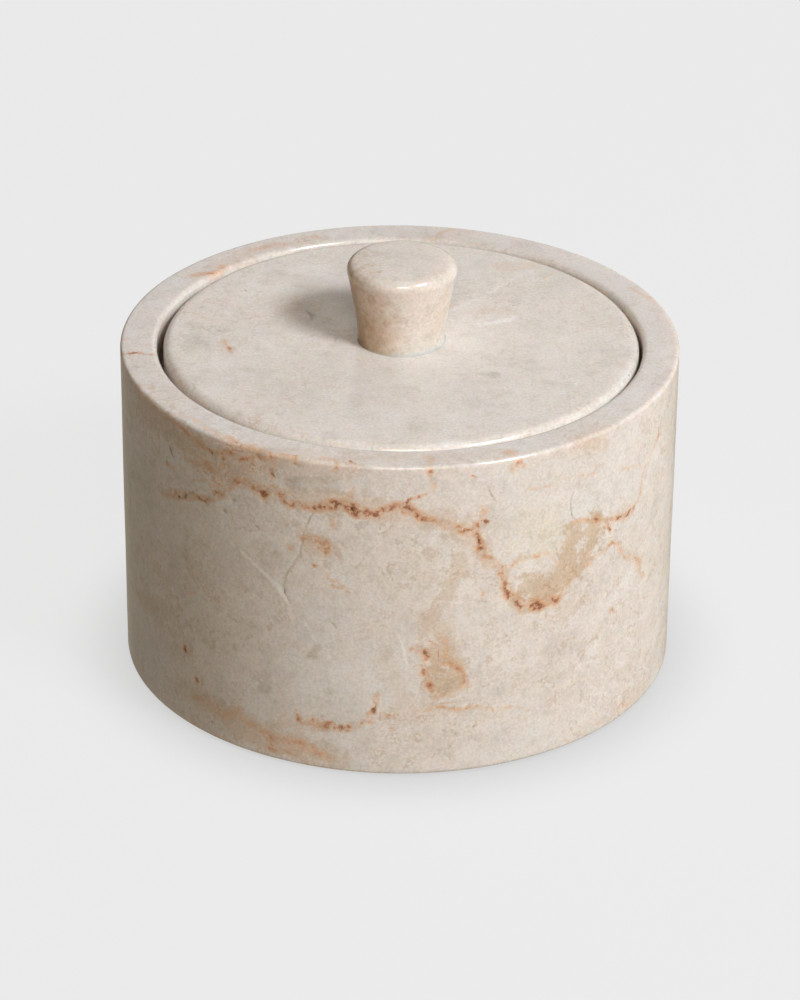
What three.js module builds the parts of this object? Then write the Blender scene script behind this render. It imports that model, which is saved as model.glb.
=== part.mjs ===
// A turned stone jar with a drop-in disc lid and a flared knob.
// Millimetres, +Z up. The origin is the centre of the plane that the jar stands on.

import * as THREE from 'three';

// ---- Driving dimensions ----------------------------------------------------

// Jar
const outerDiameter = 120;
const rimHeight = 73.2;          // standing plane to the top of the rim
const wallThickness = 7.9;       // at the rim, beside the lid
const ledgeWidth = 4;            // step inside the wall that carries the lid
const rebateDepth = 11;          // rim down to the ledge
const floorThickness = 9;
const rimOuterRadius = 0.8;
const rimInnerRadius = 1.2;
const baseEdgeRadius = 0.6;
const cavityFillet = 3;          // between the cavity's wall and its floor

// Underside and pads
const footRingWidth = 7;         // flat ring round the recess in the underside
const recessDepth = 1;
const padDiameter = 12;
const padProud = 0.5;            // pads below the foot ring
const padInset = 2;              // pad edge to the recess wall
const padEdgeRadius = 0.4;
const padCount = 4;

// Lid
const lidClearance = 1;          // radial, lid to rebate wall
const lidProud = 0.15;           // lid's top above the rim
const lidOffsetX = 0.3;          // the loose lid lies a little to the right of the axis
const lidEdgeRadius = 2;
const lidChamfer = 1;            // lower edge

// Knob
const knobHeight = 18.6;         // above the lid
const knobTopRadius = 11.8;
const knobFootRadius = 9.15;     // where the flared side would meet the lid
const knobEdgeRadius = 2.2;
const knobFillet = 0.9;          // hollow curve at the knob's foot
const knobLip = 0.3;             // thickness of the foot's outermost edge
const tenonRadius = 5;
const tenonLength = 6;
const glueGap = 0.3;             // round and below the tenon, in the lid's socket

// Facets
const jarSegments = 72;
const knobSegments = 48;
const padSegments = 24;
const arcSteps = 4;              // per rounded edge

// ---- Derived dimensions ----------------------------------------------------

const outerRadius = outerDiameter / 2;
const boreRadius = outerRadius - wallThickness;
const cavityRadius = boreRadius - ledgeWidth;
const footHeight = padProud;
const floorHeight = footHeight + floorThickness;
const ledgeHeight = rimHeight - rebateDepth;
const recessRadius = outerRadius - footRingWidth;
const recessHeight = footHeight + recessDepth;

const lidRadius = boreRadius - lidClearance;
const lidThickness = rebateDepth + lidProud;
const socketRadius = tenonRadius + glueGap;
const socketDepth = tenonLength + glueGap;

const padRadius = padDiameter / 2;
const padPitchRadius = recessRadius - padInset - padRadius;

// ---- Helpers ---------------------------------------------------------------

// Points of an arc in the (radius, height) plane, with angles in radians.
function arc(centreR, centreZ, radius, from, to, steps = arcSteps) {
  const points = [];
  for (let i = 0; i <= steps; i += 1) {
    const angle = from + ((to - from) * i) / steps;
    points.push([centreR + radius * Math.cos(angle), centreZ + radius * Math.sin(angle)]);
  }
  return points;
}

// A solid of revolution about Z from a profile of [radius, height] points
// that starts and ends on the axis and runs with the material on its left.
function turned(profile, segments) {
  const points = profile.map(([radius, height]) => new THREE.Vector2(radius, height));
  const geometry = new THREE.LatheGeometry(points, segments);
  geometry.rotateX(Math.PI / 2);
  return geometry;
}

function piece(name, geometry, material, x = 0, y = 0, z = 0) {
  const mesh = new THREE.Mesh(geometry, material);
  mesh.name = name;
  mesh.position.set(x, y, z);
  return mesh;
}

// ---- Pieces ----------------------------------------------------------------

const quarter = Math.PI / 2;

function jarBodyGeometry() {
  return turned([
    [0, recessHeight],
    [recessRadius, recessHeight],
    [recessRadius, footHeight],
    ...arc(outerRadius - baseEdgeRadius, footHeight + baseEdgeRadius, baseEdgeRadius, -quarter, 0),
    ...arc(outerRadius - rimOuterRadius, rimHeight - rimOuterRadius, rimOuterRadius, 0, quarter),
    ...arc(boreRadius + rimInnerRadius, rimHeight - rimInnerRadius, rimInnerRadius, quarter, 2 * quarter),
    [boreRadius, ledgeHeight],
    [cavityRadius, ledgeHeight],
    ...arc(cavityRadius - cavityFillet, floorHeight + cavityFillet, cavityFillet, 0, -quarter),
    [0, floorHeight],
  ], jarSegments);
}

// The disc's own origin is the centre of its underside.
function lidDiscGeometry() {
  return turned([
    [0, 0],
    [lidRadius - lidChamfer, 0],
    [lidRadius, lidChamfer],
    ...arc(lidRadius - lidEdgeRadius, lidThickness - lidEdgeRadius, lidEdgeRadius, 0, quarter),
    [socketRadius, lidThickness],
    [socketRadius, lidThickness - socketDepth],
    [0, lidThickness - socketDepth],
  ], jarSegments);
}

// The knob's own origin is the centre of its foot, on the lid's top face.
function lidKnobGeometry() {
  const edgeCentreR = knobTopRadius - knobEdgeRadius;
  const edgeCentreZ = knobHeight - knobEdgeRadius;
  const run = edgeCentreR - knobFootRadius;
  const lean = Math.atan2(run, edgeCentreZ) + Math.asin(knobEdgeRadius / Math.hypot(run, edgeCentreZ));
  const filletCentreZ = knobLip + knobFillet;
  const filletCentreR = knobFootRadius + filletCentreZ * Math.tan(lean) + knobFillet / Math.cos(lean);
  return turned([
    [0, -tenonLength],
    [tenonRadius, -tenonLength],
    [tenonRadius, 0],
    [filletCentreR, 0],
    ...arc(filletCentreR, filletCentreZ, knobFillet, 3 * quarter, 2 * quarter - lean),
    ...arc(edgeCentreR, edgeCentreZ, knobEdgeRadius, -lean, quarter),
    [0, knobHeight],
  ], knobSegments);
}

// The pad's own origin is the centre of the face that it stands on.
function basePadGeometry() {
  return turned([
    [0, 0],
    ...arc(padRadius - padEdgeRadius, padEdgeRadius, padEdgeRadius, -quarter, 0),
    [padRadius, recessHeight],
    [0, recessHeight],
  ], padSegments);
}

// ---- Assembly --------------------------------------------------------------

const jarMarble = new THREE.MeshStandardMaterial({ color: 0xcbbcaa, roughness: 0.35, metalness: 0 });
const lidMarble = new THREE.MeshStandardMaterial({ color: 0xd6cabc, roughness: 0.3, metalness: 0 });
const knobMarble = new THREE.MeshStandardMaterial({ color: 0xd4c0a8, roughness: 0.3, metalness: 0 });
const padRubber = new THREE.MeshStandardMaterial({ color: 0x3a3734, roughness: 0.8, metalness: 0 });

const jar = new THREE.Group();
jar.add(piece('jar_body', jarBodyGeometry(), jarMarble));

const padGeometry = basePadGeometry();
for (let i = 0; i < padCount; i += 1) {
  const bearing = ((i + 0.5) / padCount) * 2 * Math.PI;
  const x = padPitchRadius * Math.cos(bearing);
  const y = padPitchRadius * Math.sin(bearing);
  jar.add(piece(`base_pad_${i + 1}`, padGeometry, padRubber, x, y));
}

const lid = new THREE.Group();
lid.position.set(lidOffsetX, 0, ledgeHeight);
lid.add(piece('lid_disc', lidDiscGeometry(), lidMarble));
lid.add(piece('lid_knob', lidKnobGeometry(), knobMarble, 0, 0, lidThickness));
jar.add(lid);

export default jar;
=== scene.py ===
"""A turned marble jar with a drop-in lid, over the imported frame: fine surfaces, stone and rubber looks,
a pale studio floor, soft light and the camera. Places and sizes are millimetres until a mesh is made."""

import math

import bpy
import numpy as np
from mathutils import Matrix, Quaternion, Vector


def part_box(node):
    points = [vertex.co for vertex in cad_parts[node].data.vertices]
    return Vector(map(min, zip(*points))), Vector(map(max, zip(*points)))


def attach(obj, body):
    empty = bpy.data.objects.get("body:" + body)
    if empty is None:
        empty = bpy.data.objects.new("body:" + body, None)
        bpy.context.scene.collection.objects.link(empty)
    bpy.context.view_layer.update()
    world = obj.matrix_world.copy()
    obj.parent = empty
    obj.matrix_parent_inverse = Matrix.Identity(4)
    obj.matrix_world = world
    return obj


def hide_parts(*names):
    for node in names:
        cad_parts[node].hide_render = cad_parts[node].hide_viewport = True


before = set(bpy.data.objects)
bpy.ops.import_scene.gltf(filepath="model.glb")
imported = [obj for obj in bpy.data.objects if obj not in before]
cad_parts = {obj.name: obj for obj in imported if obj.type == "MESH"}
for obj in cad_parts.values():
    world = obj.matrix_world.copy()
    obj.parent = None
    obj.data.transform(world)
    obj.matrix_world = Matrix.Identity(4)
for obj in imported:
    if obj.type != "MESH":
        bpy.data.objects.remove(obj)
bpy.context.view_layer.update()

MM = 0.001
QUARTER = math.pi / 2           # of a turn
HALF = math.pi


# ---- Sizes ---------------------------------------------------------------------------------------

def box_mm(node):
    """The lowest and highest corners of a CAD node, in millimetres."""
    low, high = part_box(node)
    return [value / MM for value in low], [value / MM for value in high]


jar_low, jar_high = box_mm("jar_body")
lid_low, lid_high = box_mm("lid_disc")
knob_low, knob_high = box_mm("lid_knob")

# Jar
OUTER_RADIUS = jar_high[0]
RIM_HEIGHT = jar_high[2]
FOOT_HEIGHT = jar_low[2]
WALL = 7.9                      # at the rim, beside the lid
LEDGE_WIDTH = 4
FLOOR_THICKNESS = 9
FOOT_RING = 7                   # width of the flat ring that the underside's recess leaves
RECESS_DEPTH = 1
RIM_OUTER_EDGE = 0.8
RIM_INNER_EDGE = 1.2
BASE_EDGE = 0.6
RECESS_EDGE = 0.3
LEDGE_EDGE = 0.4
CAVITY_FILLET = 3
BORE_RADIUS = OUTER_RADIUS - WALL
CAVITY_RADIUS = BORE_RADIUS - LEDGE_WIDTH
LEDGE_HEIGHT = lid_low[2]
FLOOR_HEIGHT = FOOT_HEIGHT + FLOOR_THICKNESS
RECESS_RADIUS = OUTER_RADIUS - FOOT_RING
RECESS_HEIGHT = FOOT_HEIGHT + RECESS_DEPTH

# Lid
LID_CENTRE = (lid_low[0] + lid_high[0]) / 2
LID_RADIUS = (lid_high[0] - lid_low[0]) / 2
LID_TOP = lid_high[2]
LID_EDGE = 2
LID_CHAMFER = 1
SOCKET_RADIUS = 5.3             # of the blind hole for the knob's tenon
SOCKET_DEPTH = 6.3

# Knob
KNOB_CENTRE = (knob_low[0] + knob_high[0]) / 2
KNOB_TOP_RADIUS = (knob_high[0] - knob_low[0]) / 2
KNOB_TOP = knob_high[2]
KNOB_EDGE = 2.2
KNOB_SOFTENING = 0.25           # how far the knob's top face falls from its middle to its edge
TENON_RADIUS = 5
TENON_END = knob_low[2]

# Mesh spacing: the longest steps of an outline, and the steps round it
FINE = 0.6
LID_FINE = 0.7
PAD_FINE = 0.5
MEDIUM = 1.5
HIDDEN = 5
FRONT_HALF_ANGLE = math.radians(102)
FRONT_STEPS = 340
BACK_STEPS = 104
KNOB_STEPS = 144
PAD_STEPS = 64


# ---- Turned surfaces -----------------------------------------------------------------------------

def arc(centre_r, centre_z, radius, start, end, steps=6):
    """Points of an arc in the (radius, height) plane."""
    angles = [start + (end - start) * i / steps for i in range(steps + 1)]
    return [(centre_r + radius * math.cos(a), centre_z + radius * math.sin(a)) for a in angles]


def refine(points, spacing):
    """The same outline with points put in so that no step is longer than the spacing."""
    fine = [points[0]]
    for start, end in zip(points, points[1:]):
        steps = max(1, math.ceil(math.dist(start, end) / spacing))
        fine += [tuple(a + (b - a) * i / steps for a, b in zip(start, end)) for i in range(1, steps + 1)]
    return fine


def graded_angles():
    """Angles about Z, closely spaced round the front (-Y) and wider apart round the back."""
    front = np.linspace(-FRONT_HALF_ANGLE, FRONT_HALF_ANGLE, FRONT_STEPS, endpoint=False)
    back = np.linspace(FRONT_HALF_ANGLE, 2 * math.pi - FRONT_HALF_ANGLE, BACK_STEPS, endpoint=False)
    return np.concatenate([front, back]) - QUARTER


def even_angles(count):
    return np.arange(count) * (2 * math.pi / count)


def turned(profile, angles, centre_x=0, centre_y=0):
    """Vertices and faces of a solid of revolution, in millimetres. The profile starts and ends on the
    axis and runs with the material on its left; its two ends become single points."""
    rings = np.array(profile[1:-1])
    count, height = len(angles), len(rings)
    vertices = np.empty((count, height, 3))
    vertices[:, :, 0] = np.cos(angles)[:, None] * rings[None, :, 0] + centre_x
    vertices[:, :, 1] = np.sin(angles)[:, None] * rings[None, :, 0] + centre_y
    vertices[:, :, 2] = rings[None, :, 1]
    ends = [(centre_x, centre_y, profile[0][1]), (centre_x, centre_y, profile[-1][1])]
    vertices = np.concatenate([vertices.reshape(-1, 3), ends])
    first_end, last_end = count * height, count * height + 1
    faces = []
    for i in range(count):
        here, there = i * height, (i + 1) % count * height
        faces.append((first_end, there, here))
        faces += [(here + k, there + k, there + k + 1, here + k + 1) for k in range(height - 1)]
        faces.append((here + height - 1, there + height - 1, last_end))
    return vertices, faces


def jar_surface():
    """The vessel: from the recess underneath up the outside, over the rim, and down the inside."""
    hidden = refine([
        (0, RECESS_HEIGHT),
        (RECESS_RADIUS - RECESS_EDGE, RECESS_HEIGHT),
        (RECESS_RADIUS, RECESS_HEIGHT - RECESS_EDGE),
        (RECESS_RADIUS, FOOT_HEIGHT + RECESS_EDGE),
        (RECESS_RADIUS + RECESS_EDGE, FOOT_HEIGHT),
    ], HIDDEN)
    outside = refine(
        arc(OUTER_RADIUS - BASE_EDGE, FOOT_HEIGHT + BASE_EDGE, BASE_EDGE, -QUARTER, 0, 4)
        + arc(OUTER_RADIUS - RIM_OUTER_EDGE, RIM_HEIGHT - RIM_OUTER_EDGE, RIM_OUTER_EDGE, 0, QUARTER)
        + arc(BORE_RADIUS + RIM_INNER_EDGE, RIM_HEIGHT - RIM_INNER_EDGE, RIM_INNER_EDGE, QUARTER, HALF),
        FINE)
    inside = refine([
        (BORE_RADIUS, RIM_HEIGHT - RIM_INNER_EDGE),
        (BORE_RADIUS, LEDGE_HEIGHT + LEDGE_EDGE),
        (BORE_RADIUS - LEDGE_EDGE, LEDGE_HEIGHT),
    ] + arc(CAVITY_RADIUS + LEDGE_EDGE, LEDGE_HEIGHT - LEDGE_EDGE, LEDGE_EDGE, QUARTER, HALF, 3), MEDIUM)
    cavity = refine(
        [(CAVITY_RADIUS, LEDGE_HEIGHT - LEDGE_EDGE)]
        + arc(CAVITY_RADIUS - CAVITY_FILLET, FLOOR_HEIGHT + CAVITY_FILLET, CAVITY_FILLET, 0, -QUARTER)
        + [(0, FLOOR_HEIGHT)], HIDDEN)
    return turned(hidden + outside + inside[1:] + cavity[1:], graded_angles())


def lid_surface():
    """The disc, with its rounded upper edge and the socket for the knob's tenon."""
    bottom = LEDGE_HEIGHT
    under = refine([(0, bottom), (LID_RADIUS - LID_CHAMFER, bottom)], HIDDEN)
    edge = refine([
        (LID_RADIUS - LID_CHAMFER, bottom),
        (LID_RADIUS, bottom + LID_CHAMFER),
        (LID_RADIUS, LID_TOP - LID_EDGE),
    ], MEDIUM)
    top = refine(
        arc(LID_RADIUS - LID_EDGE, LID_TOP - LID_EDGE, LID_EDGE, 0, QUARTER, 8)
        + [(SOCKET_RADIUS, LID_TOP)], LID_FINE)
    socket = [
        (SOCKET_RADIUS, LID_TOP - SOCKET_DEPTH),
        (0, LID_TOP - SOCKET_DEPTH),
    ]
    return turned(under + edge[1:] + top[1:] + socket, graded_angles(), LID_CENTRE)


def knob_surface():
    """A flared plug on a tenon: a small hollow curve at the foot, faintly hollow sides, and a soft,
    domed top. The outline's heights are above the lid; the foot's edge sinks a hair into it."""
    waist = [(9.62, -0.1), (9.47, 0.1), (9.38, 0.35), (9.33, 0.8), (9.33, 1.3)]
    sides = [(9.42, 2.6), (9.6, 4.2), (9.87, 6), (10.2, 8), (10.58, 10), (10.95, 12), (11.3, 14),
             (11.52, 15)]
    height = KNOB_TOP - LID_TOP
    shoulder = arc(KNOB_TOP_RADIUS - KNOB_EDGE, height - KNOB_EDGE - KNOB_SOFTENING, KNOB_EDGE,
                   -0.2, QUARTER, 10)
    crown = [(r, height - KNOB_SOFTENING * (r / KNOB_TOP_RADIUS) ** 2) for r in (8, 6, 4, 2)]
    above = refine([(r, LID_TOP + z) for r, z in waist + sides + shoulder + crown + [(0, height)]], FINE)
    tenon = [(0, TENON_END), (TENON_RADIUS, TENON_END), (TENON_RADIUS, LID_TOP)]
    return turned(tenon + above, even_angles(KNOB_STEPS), KNOB_CENTRE)


def pad_surface(node):
    """A rubber foot: a shallow dish in its underside, a rounded lip, a plain side, and a hair's gap
    to the recess above it."""
    low, high = box_mm(node)
    radius = (high[0] - low[0]) / 2
    dish, lip, gap = 0.25, 0.4, 0.02
    profile = refine(
        [(0, dish), (radius - 2.2, dish)]
        + arc(radius - 1.2, lip, lip, 0.4 - HALF, -QUARTER, 4)
        + arc(radius - lip, lip, lip, -QUARTER, 0, 5)
        + [(radius, high[2] - 0.1), (radius - 0.1, high[2] - gap), (0, high[2] - gap)], PAD_FINE)
    return turned(profile, even_angles(PAD_STEPS), (low[0] + high[0]) / 2, (low[1] + high[1]) / 2)


# ---- Strokes: veins, cracks and patches of the stone, and painted shade on the knob --------------
# A stroke is a half width and a list of places, each with a strength from 0 to 1. On the wall and the
# knob a place is (degrees round to the right of the front, height); on the rim and the lid it is (x, y).

def on_wall(half_width, *places):
    """A stroke on the jar's wall, cut into short stretches so that it follows the curve."""
    placed = []
    for degrees, height, strength in refine(places, 4):
        turn = math.radians(degrees)
        placed.append((OUTER_RADIUS * math.sin(turn), -OUTER_RADIUS * math.cos(turn), height, strength))
    return half_width, placed


def on_top(half_width, *places):
    """A stroke on the rim's or the lid's flat top."""
    return half_width, [(x, y, RIM_HEIGHT, strength) for x, y, strength in places]


def on_knob(half_width, *places):
    """A stroke on the knob's side, with its heights above the lid."""
    reach = KNOB_TOP_RADIUS - 1
    placed = []
    for degrees, height, strength in places:
        turn = math.radians(degrees)
        x, y = KNOB_CENTRE + reach * math.sin(turn), -reach * math.cos(turn)
        placed.append((x, y, LID_TOP + height, strength))
    return half_width, placed


WALL_RUST = [
    # the long vein under the rim, down round the first clast
    on_wall(1.3, (-56, 52.5, .15), (-50, 55, .7), (-46, 57, .45), (-42, 57, .55), (-38, 60, .55),
        (-34, 64, .45), (-31, 65, .4), (-28.6, 64, .7), (-27.5, 62.8, 1), (-26.3, 64.4, .6),
        (-25, 65, .4), (-22, 62.5, .6), (-18, 62.5, .5), (-15, 63.2, .8), (-12, 64, .9), (-10, 64.8, .6),
        (-9.3, 63.6, 1), (-8, 62.6, .9), (-5, 62.3, .7), (-3.5, 62.4, .9), (-2, 63.5, .6), (0, 64, .6),
        (1.5, 63.8, .9), (3, 63.2, .5), (4.5, 61.4, .65), (8, 60.4, .4), (11, 59.4, .5),
        (13.5, 58.2, .9), (15, 57, .7), (15.8, 55.4, .6), (16.3, 53.5, .9), (17, 51.8, .4),
        (18.5, 50.3, .5), (20, 49, .35), (20.8, 46.5, .55), (21.3, 44.5, .6), (22.3, 41.8, .8),
        (23.5, 40, .8), (25, 38.8, .7), (26.2, 37.5, .75), (28.5, 37, 1), (30, 36.8, .7),
        (31.3, 37, .35), (32.6, 37.6, .9), (33.6, 37.3, .7), (35.5, 38.5, .15)),
    on_wall(.6, (1, 64, .5), (2, 65.5, .75), (3.5, 66.3, .65), (5, 67, .4)),
    on_wall(.9, (15, 57.5, .5), (16, 59.3, .65), (17, 60, .85), (17.2, 61.5, .6), (17, 62.6, .3)),
    # the branches to the right of the first clast
    on_wall(.9, (36, 54, .3), (38.5, 54.3, .45), (41, 53.8, .6), (43.5, 52.8, .6), (45, 52, .45),
        (47, 51.3, .65), (49.5, 51, .9), (52, 50.2, .75), (53.5, 50.5, .8), (55, 50, .7),
        (56.5, 51.5, .5), (57.7, 53.2, .6), (58.8, 56, .45), (59.8, 58.2, .5), (62.5, 60.6, .35),
        (65.8, 63, .45), (68, 65, .2)),
    on_wall(.6, (46.8, 49.8, .5), (47.3, 48.6, .95), (47.6, 47.8, .4)),
    on_wall(.9, (34.5, 39.5, .15), (38, 42.3, .4), (40, 42.8, .3), (42, 43.3, .45), (45, 44.5, .45),
        (47, 45.5, .5), (49.5, 45.2, .55), (51, 44, .5), (52, 41.5, .35), (53, 39.8, .4), (55.5, 39, .5),
        (57.5, 37.8, .5), (58.8, 35.5, .6), (59.5, 33.5, .5), (60.5, 31.5, .3), (61, 29, .1)),
    on_wall(.9, (20.5, 48.5, .4), (22.5, 48, .35), (25, 49.5, .35), (28, 49.2, .35), (31, 48.7, .4),
        (32.5, 47, .3), (34, 45.5, .25)),
    on_wall(.9, (36.5, 44.5, .3), (37.5, 43.2, .5), (38.5, 42.5, .3)),
    # the outline of the second clast
    on_wall(1.2, (3, 31, .5), (4.3, 31, .7), (5.2, 29.8, .9), (5.8, 29, .7), (5.2, 27.5, .45)),
    on_wall(1.0, (4.8, 26.5, .55), (5.2, 25.5, .7), (5.8, 23.5, .65), (6.3, 21.8, .65), (6.8, 20.5, .5)),
    on_wall(1.1, (7.8, 34, .3), (9, 32.5, .4), (9.8, 31, .3), (10.2, 28.5, .4), (11.3, 26.8, .5),
        (12.5, 25.5, .6), (13.2, 24, .6), (13.8, 22.5, .5), (14.3, 21, .4), (13, 20.3, .3),
        (10.5, 19.2, .3), (7.5, 19, .3), (6.8, 20.3, .35)),
    # the lower vein
    on_wall(.9, (-20, 13.5, .5), (-19.6, 12, .65), (-19.3, 10.8, .6), (-18, 10.8, .5)),
    on_wall(.9, (-17, 11.8, .5), (-16.4, 10.5, .6), (-15.5, 11, .65), (-14.6, 11.5, .9),
        (-13.3, 12.2, 1), (-12.5, 11.6, 1), (-11, 11.6, .75), (-9.5, 11.6, .8), (-8, 12, .65),
        (-6.5, 13.2, .6), (-5.3, 13.6, .65), (-5.3, 15.2, .7), (-4.8, 16, .9), (-4.3, 17, .85),
        (-3.9, 18.5, .6), (-3.6, 20, .35)),
    on_wall(.8, (-2, 15.2, .45), (-1, 15, .65), (.2, 15, .45)),
    on_wall(.6, (-1.1, 11.4, .75), (-.9, 11.1, .75)),
    on_wall(.7, (4, 16.2, .4), (8, 16.5, .5), (14, 15.8, .45), (19, 15, .4)),
    on_wall(.6, (19, 15, .35), (25, 13.2, .35), (28, 12, .2)),
    on_wall(1.7, (-33, 8, .25), (-29, 7, .35), (-25, 5, .38), (-20, 6, .35), (-16, 4, .35),
        (-13, 3, .3)),
    on_wall(1.6, (-46, 8, .25), (-42, 9, .3), (-38, 7, .3), (-34, 10, .25)),
    # marks under the rim
    on_wall(.8, (-37.5, 70, .4), (-36.8, 67.5, .55), (-37.5, 65.5, .45), (-39.5, 63.5, .4)),
    on_wall(.8, (-47, 64.5, .35), (-41, 65.3, .45), (-37, 64, .35)),
    on_wall(1.0, (-53, 71.8, .3), (-48, 71.5, .45), (-44, 69.6, .5), (-40.2, 69, .55), (-36, 70.5, .45),
        (-32.5, 70, .5), (-28.8, 71.5, .5), (-24, 72.6, .45), (-20.5, 72.6, .4)),
    on_wall(.8, (-45, 60.5, .3), (-42, 62, .4), (-40, 61, .45), (-37.5, 62.5, .4), (-35.5, 61, .3)),
    on_wall(.7, (-33, 66.5, .45), (-31, 68.3, .4), (-30, 67, .35)),
    on_wall(.9, (-29, 65, .2), (-25, 65, .35), (-21, 65.2, .2)),
    on_wall(.8, (-25.3, 70.5, .3), (-25.7, 69, .7), (-26, 67.5, .5)),
    on_wall(.6, (-29.7, 70, .5), (-29.3, 69.4, .6)),
    on_wall(.7, (-13, 71.3, .75), (-12.3, 72, .5), (-12, 73.2, .5)),
    on_wall(.5, (-8.7, 73, .7), (-8.5, 72.1, .7)),
    on_wall(.8, (-9.3, 70.5, .25), (-9.3, 66.5, .4), (-9.5, 65, .5)),
    on_wall(.8, (6, 73, .45), (6.2, 72, .6), (6.3, 70.5, .3), (6.5, 69, .35), (6.2, 67.5, .2)),
    on_wall(.5, (14, 70, .55), (14.4, 69.6, .55)),
    on_wall(.8, (22.5, 70.2, .4), (23, 71.3, .5), (24, 71.8, .5), (25, 70.8, .4)),
    on_wall(.6, (26, 65, .2), (28, 64.7, .45), (29, 64.5, .35), (31, 65, .2)),
    on_wall(.7, (34, 65.5, .15), (37, 65.2, .35), (40, 64.5, .5), (42.5, 64.5, .35), (45, 65.5, .2)),
    on_wall(.8, (51, 62, .3), (53, 61.2, .4)),
    on_wall(.7, (55, 60.5, .35), (57, 59.5, .3)),
    # small stains
    on_wall(1.2, (-18.8, 55, .45), (-17, 55.2, .6), (-15.2, 55, .75), (-13.6, 54.2, .65),
        (-14.4, 52.8, .5)),
    on_wall(.6, (-14.8, 49.4, .5), (-13.8, 46.5, .4), (-11.8, 45.6, .5), (-9.5, 44, .45)),
    on_wall(.7, (-13, 60.6, .35), (-12.6, 59, .5)),
    on_wall(.9, (-21.7, 52.5, .35), (-21.4, 52.3, .35)),
    on_wall(.6, (-16.9, 49.6, .35), (-16.4, 48.8, .65)),
    on_wall(.6, (-15, 45.2, .4), (-12.5, 44.8, .55), (-10.5, 45, .4), (-9, 44.8, .2)),
    on_wall(.5, (-14.2, 46.3, .5), (-14, 47.3, .35)),
    on_wall(.5, (17, 43.2, .6), (16.9, 42.6, .6)),
    on_wall(.6, (48.4, 29.2, .85), (49, 29, .7)),
    on_wall(.6, (-53.5, 60.8, .8), (-51.5, 60.3, .8)),
    on_wall(.7, (-73, 63.8, .5), (-70.5, 64.6, .5)),
    on_wall(.7, (-64, 67.5, .5), (-62, 68.5, .5)),
    on_wall(.6, (-47, 32.5, .5), (-45.5, 33.7, .5)),
    on_wall(1.0, (-48.6, 18.6, .7), (-47, 18.2, .6)),
    on_wall(.9, (-45.6, 12.8, .6), (-45.2, 12.2, .6)),
    on_wall(.9, (-25, 5, .25), (-23, 6.2, .4), (-21.8, 7, .3)),
    on_wall(.9, (-26.5, 2.8, .45), (-24.5, 2.3, .4), (-20.5, 2.9, .3)),
    on_wall(.8, (-38.3, 1.6, .5), (-39.6, .9, .6)),
    on_wall(.9, (53.5, 3.4, .2), (55.8, 2.6, .35)),
    # round the back
    on_wall(1.1, (84, 56, .2), (93, 60, .5), (102, 61, .3), (112, 57, .75), (121, 58, .95),
        (130, 53, .5), (138, 50, .8), (149, 52, .4), (158, 46, .7), (166, 41, .3)),
    on_wall(.8, (121, 58, .6), (124, 63, .7), (131, 66, .4), (137, 71, .3)),
    on_wall(.9, (158, 46, .5), (169, 49, .55), (180, 47, .8), (190, 43, .5), (199, 44, .2)),
    on_wall(1.0, (205, 22, .3), (215, 18, .8), (224, 19, .5), (236, 14, .9), (246, 15, .4),
        (257, 11, .3)),
    on_wall(.8, (225, 63, .3), (234, 60, .7), (243, 62, .5), (254, 58, .4), (266, 60, .15)),
    on_wall(.7, (100, 17, .3), (108, 21, .6), (117, 20, .4), (125, 24, .15)),
]

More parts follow.
